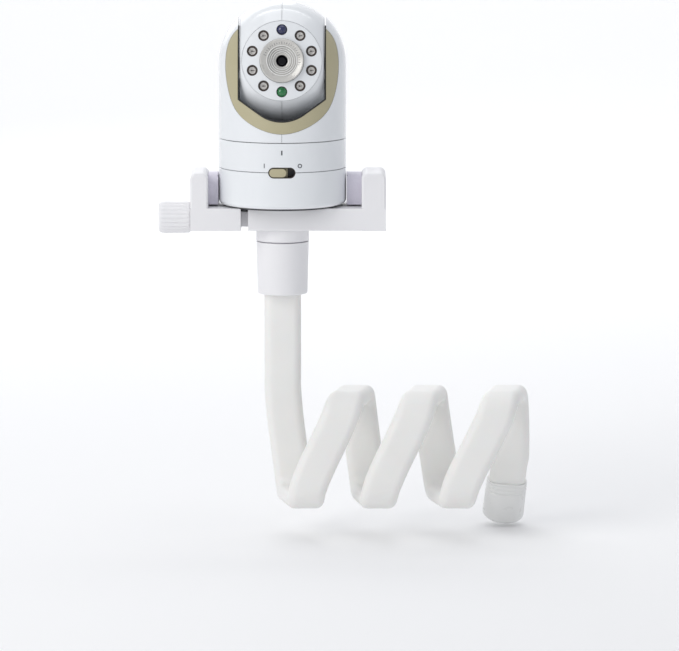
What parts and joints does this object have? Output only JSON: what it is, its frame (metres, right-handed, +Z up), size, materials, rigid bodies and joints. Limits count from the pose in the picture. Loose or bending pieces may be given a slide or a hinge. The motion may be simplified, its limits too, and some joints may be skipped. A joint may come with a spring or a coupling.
{
  "type": "baby monitor camera",
  "caption": "Domed pan and tilt nursery camera held by a screw clamp on a flat bendable arm that winds round a crib rail.",
  "frame": {"origin": "centre of the rail's cross-section, midway along the stretch of rail that the arm wraps", "axes": "+X along the rail towards the arm's free end, +Z up, the camera looks along -Y"},
  "size_m": [0.2074, 0.0874, 0.295],
  "materials": {
    "arm_silicone": "matte",
    "arm_cap": "satin",
    "core_wire": "satin",
    "clamp_white": "satin",
    "clamp_pad": "matte",
    "hardware": "brushed",
    "camera_white": "gloss",
    "tan_trim": "satin",
    "pearl_hood": "pearl",
    "lens": "gloss",
    "clear_lamp": "gloss",
    "lamp_cup": "gloss",
    "dark_sensor": "gloss",
    "green_light": "gloss",
    "mark_grey": "matte",
    "dark_plastic": "matte",
    "circuit_green": "satin",
    "gear_nylon": "satin",
    "motor_can": "satin",
    "foot_rubber": "matte"
  },
  "bodies": {
    "arm": {"arm_sleeve": "arm_silicone", "arm_core_wires": "core_wire", "arm_end_cap": "arm_cap"},
    "stem": {"stem_lower_sleeve": "arm_silicone", "stem_lower_wires": "core_wire"},
    "socket": {"stem_upper_sleeve": "arm_silicone", "stem_upper_wires": "core_wire", "arm_socket": "clamp_white", "socket_grub_screw": "hardware", "swivel_bolt": "hardware", "swivel_nut": "hardware", "swivel_friction_disc": "clamp_pad"},
    "holder": {"fixed_jaw": "clamp_white", "fixed_jaw_pad": "clamp_pad", "clamp_nut": "hardware"},
    "sliding_jaw": {"sliding_jaw": "clamp_white", "sliding_jaw_pad": "clamp_pad"},
    "knob": {"clamp_knob": "clamp_white", "clamp_screw": "hardware", "screw_retaining_ring": "hardware"},
    "camera_base": {"foot_ring": "foot_rubber", "base_cover": "camera_white", "base_body": "camera_white", "base_screws": "hardware", "main_circuit_board": "circuit_green", "speaker": "dark_plastic", "power_jack": "dark_plastic", "power_switch_case": "dark_plastic", "switch_marks": "mark_grey", "antenna_pin": "hardware", "pan_motor": "motor_can", "pan_glide_ring": "gear_nylon"},
    "power_switch": {"power_switch_slider": "tan_trim"},
    "pairing_button": {"pairing_button": "camera_white"},
    "antenna": {"antenna": "camera_white"},
    "pan_pinion": {"pan_pinion": "gear_nylon"},
    "turret": {"turret_shell_left": "camera_white", "turret_shell_right": "camera_white", "turret_trim": "tan_trim", "turret_deck": "dark_plastic", "turret_screws": "hardware", "hub_retaining_ring": "hardware", "tilt_sun_gear": "gear_nylon", "pan_gear": "gear_nylon"},
    "head": {"head_shell_left": "camera_white", "head_shell_right": "camera_white", "face_plate": "camera_white", "infrared_lamps": "clear_lamp", "lamp_holders": "lamp_cup", "light_sensor": "dark_sensor", "status_light": "green_light", "lamp_circuit_board": "circuit_green", "image_sensor_board": "circuit_green", "lens_mount": "dark_plastic", "tilt_motor": "motor_can", "head_screws": "hardware"},
    "tilt_pinion": {"tilt_pinion": "gear_nylon"},
    "lens": {"lens_hood": "pearl_hood", "lens_glass": "lens"}
  },
  "joints": [
    {"name": "stem_bend_fore_aft", "type": "hinge", "parent": "arm", "child": "stem", "pos_m": [-0.068, 0.0202, 0.047], "axis": [1, 0, 0], "range_deg": [-35, 35], "deforming": ["stem_lower_sleeve", "stem_lower_wires"]},
    {"name": "stem_bend_sideways", "type": "hinge", "parent": "stem", "child": "socket", "pos_m": [-0.068, 0.0202, 0.07], "axis": [0, 1, 0], "range_deg": [-35, 35], "deforming": ["stem_upper_sleeve", "stem_upper_wires"]},
    {"name": "holder_swivel", "type": "hinge", "parent": "socket", "child": "holder", "pos_m": [-0.068, 0.0202, 0.1132], "axis": [0, 0, 1], "continuous": true},
    {"name": "jaw_slide", "type": "slide", "parent": "holder", "child": "sliding_jaw", "axis": [-1, 0, 0], "range_m": [0, 0.014]},
    {"name": "knob_turn", "type": "hinge", "parent": "sliding_jaw", "child": "knob", "pos_m": [-0.131, 0.0202, 0.1262], "axis": [-1, 0, 0], "range_deg": [0, 7200]},
    {"name": "camera_lift", "type": "slide", "parent": "holder", "child": "camera_base", "axis": [0, 0, 1], "range_m": [0, 0.06]},
    {"name": "power_switch", "type": "slide", "parent": "camera_base", "child": "power_switch", "axis": [1, 0, 0], "range_m": [0, 0.0044]},
    {"name": "pairing_button", "type": "slide", "parent": "camera_base", "child": "pairing_button", "axis": [-0.6157, -0.788, 0], "range_m": [0, 0.0006], "stiffness_N_per_m": 600},
    {"name": "antenna_fold", "type": "hinge", "parent": "camera_base", "child": "antenna", "pos_m": [-0.068, 0.0598, 0.163], "axis": [-1, 0, 0], "range_deg": [0, 100]},
    {"name": "pan", "type": "hinge", "parent": "camera_base", "child": "turret", "pos_m": [-0.068, 0.0202, 0.1712], "axis": [0, 0, 1], "range_deg": [-135, 135]},
    {"name": "pan_pinion_turn", "type": "hinge", "parent": "camera_base", "child": "pan_pinion", "pos_m": [-0.08839, 0.01069, 0.1648], "axis": [0, 0, 1], "range_deg": [-540, 540]},
    {"name": "tilt", "type": "hinge", "parent": "turret", "child": "head", "pos_m": [-0.068, 0.0202, 0.212], "axis": [-1, 0, 0], "range_deg": [-48, 72]},
    {"name": "tilt_pinion_turn", "type": "hinge", "parent": "head", "child": "tilt_pinion", "pos_m": [-0.0484, 0.03208, 0.21033], "axis": [-1, 0, 0], "range_deg": [-144, 216]},
    {"name": "lens_turn", "type": "hinge", "parent": "head", "child": "lens", "pos_m": [-0.068, 0.0202, 0.212], "axis": [0, -0.9903, 0.1392], "range_deg": [0, 90]}
  ],
  "couplings": [
    {"joint": "knob_turn", "follows": "jaw_slide", "rad_per_m": 8976},
    {"joint": "pan_pinion_turn", "follows": "pan", "ratio": -4},
    {"joint": "tilt_pinion_turn", "follows": "tilt", "ratio": 3}
  ]
}
